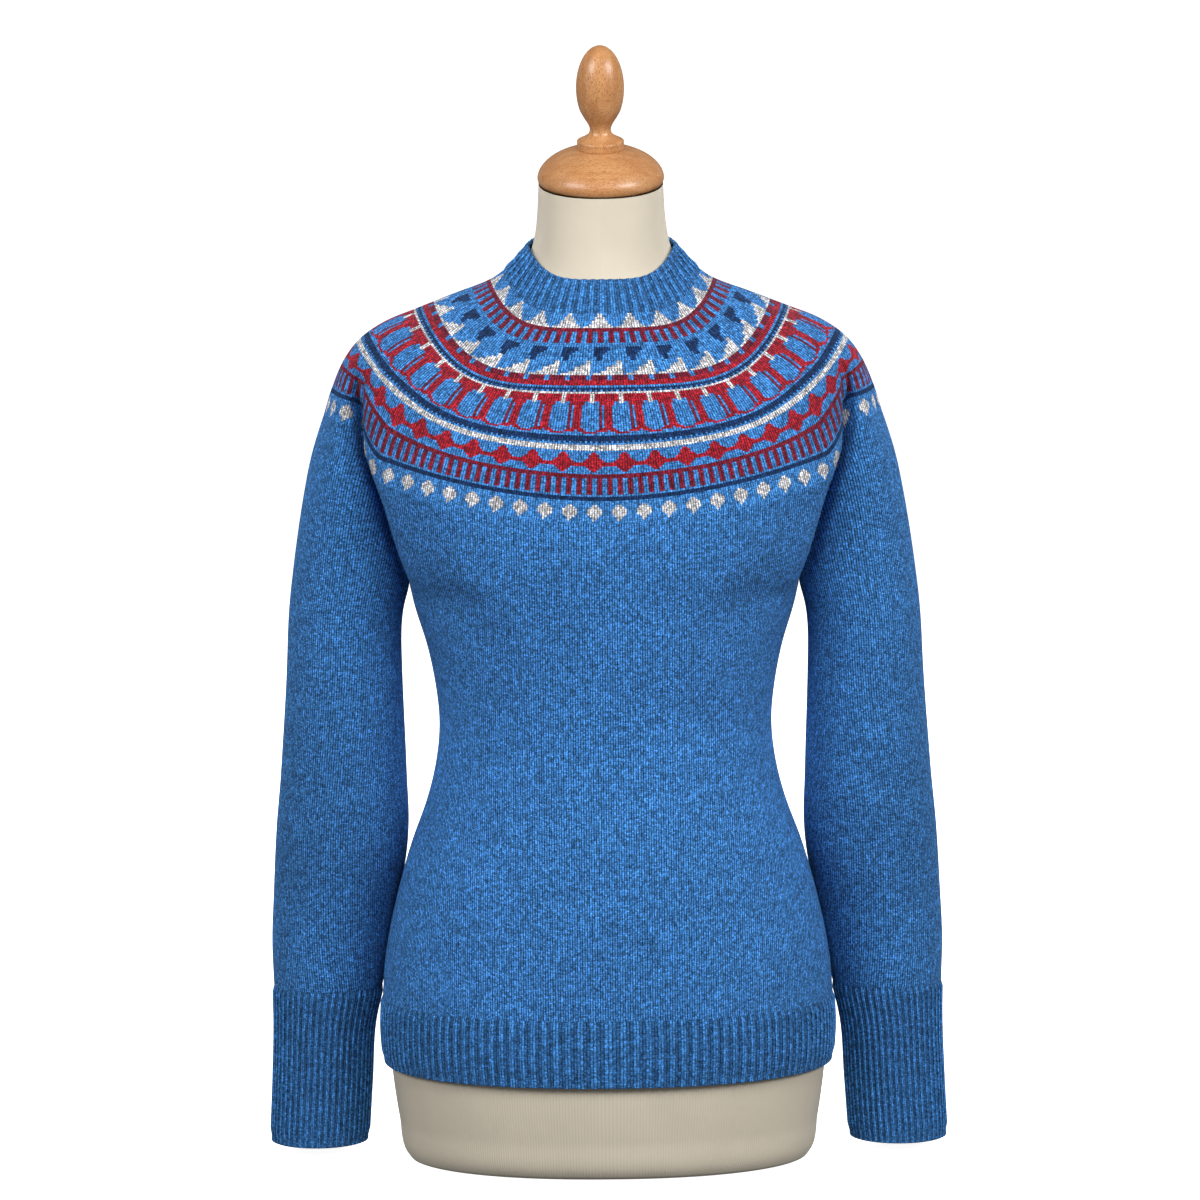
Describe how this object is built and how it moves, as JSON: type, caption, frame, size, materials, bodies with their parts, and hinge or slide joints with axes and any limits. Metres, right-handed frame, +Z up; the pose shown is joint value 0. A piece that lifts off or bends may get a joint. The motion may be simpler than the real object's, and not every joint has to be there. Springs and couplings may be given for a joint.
{
  "type": "fair isle sweater on a limbless dress form",
  "caption": "Fitted fair isle sweater with a ribbed funnel neck, patterned round yoke, long sleeves and ribbed cuffs and hem, worn by a limbless dress form with a turned wooden cap.",
  "frame": {"origin": "on the floor under the middle of the whole, at the middle of the dress form's flat base", "axes": "+Z up, the front of the sweater faces -Y, and +X is the wearer's left"},
  "size_m": [0.5337, 0.252, 0.8624],
  "materials": {
    "blue_wool": "heathered mid blue woollen knit, matt with a soft nap",
    "fair_isle_wool": "heathered blue woollen knit patterned in navy, red, dark red and off-white",
    "cream_jersey": "fine cream cotton jersey, smooth and matt",
    "varnished_beech": "turned beech under a satin varnish"
  },
  "bodies": {
    "root": {"yoke": "fair_isle_wool", "neckband": "blue_wool", "front_panel": "blue_wool", "back_panel": "blue_wool", "hem_rib": "blue_wool", "sleeve_left": "blue_wool", "sleeve_right": "blue_wool", "cuff_left": "blue_wool", "cuff_right": "blue_wool", "form_torso": "cream_jersey", "form_cap": "varnished_beech", "form_finial": "varnished_beech"}
  },
  "joints": []
}
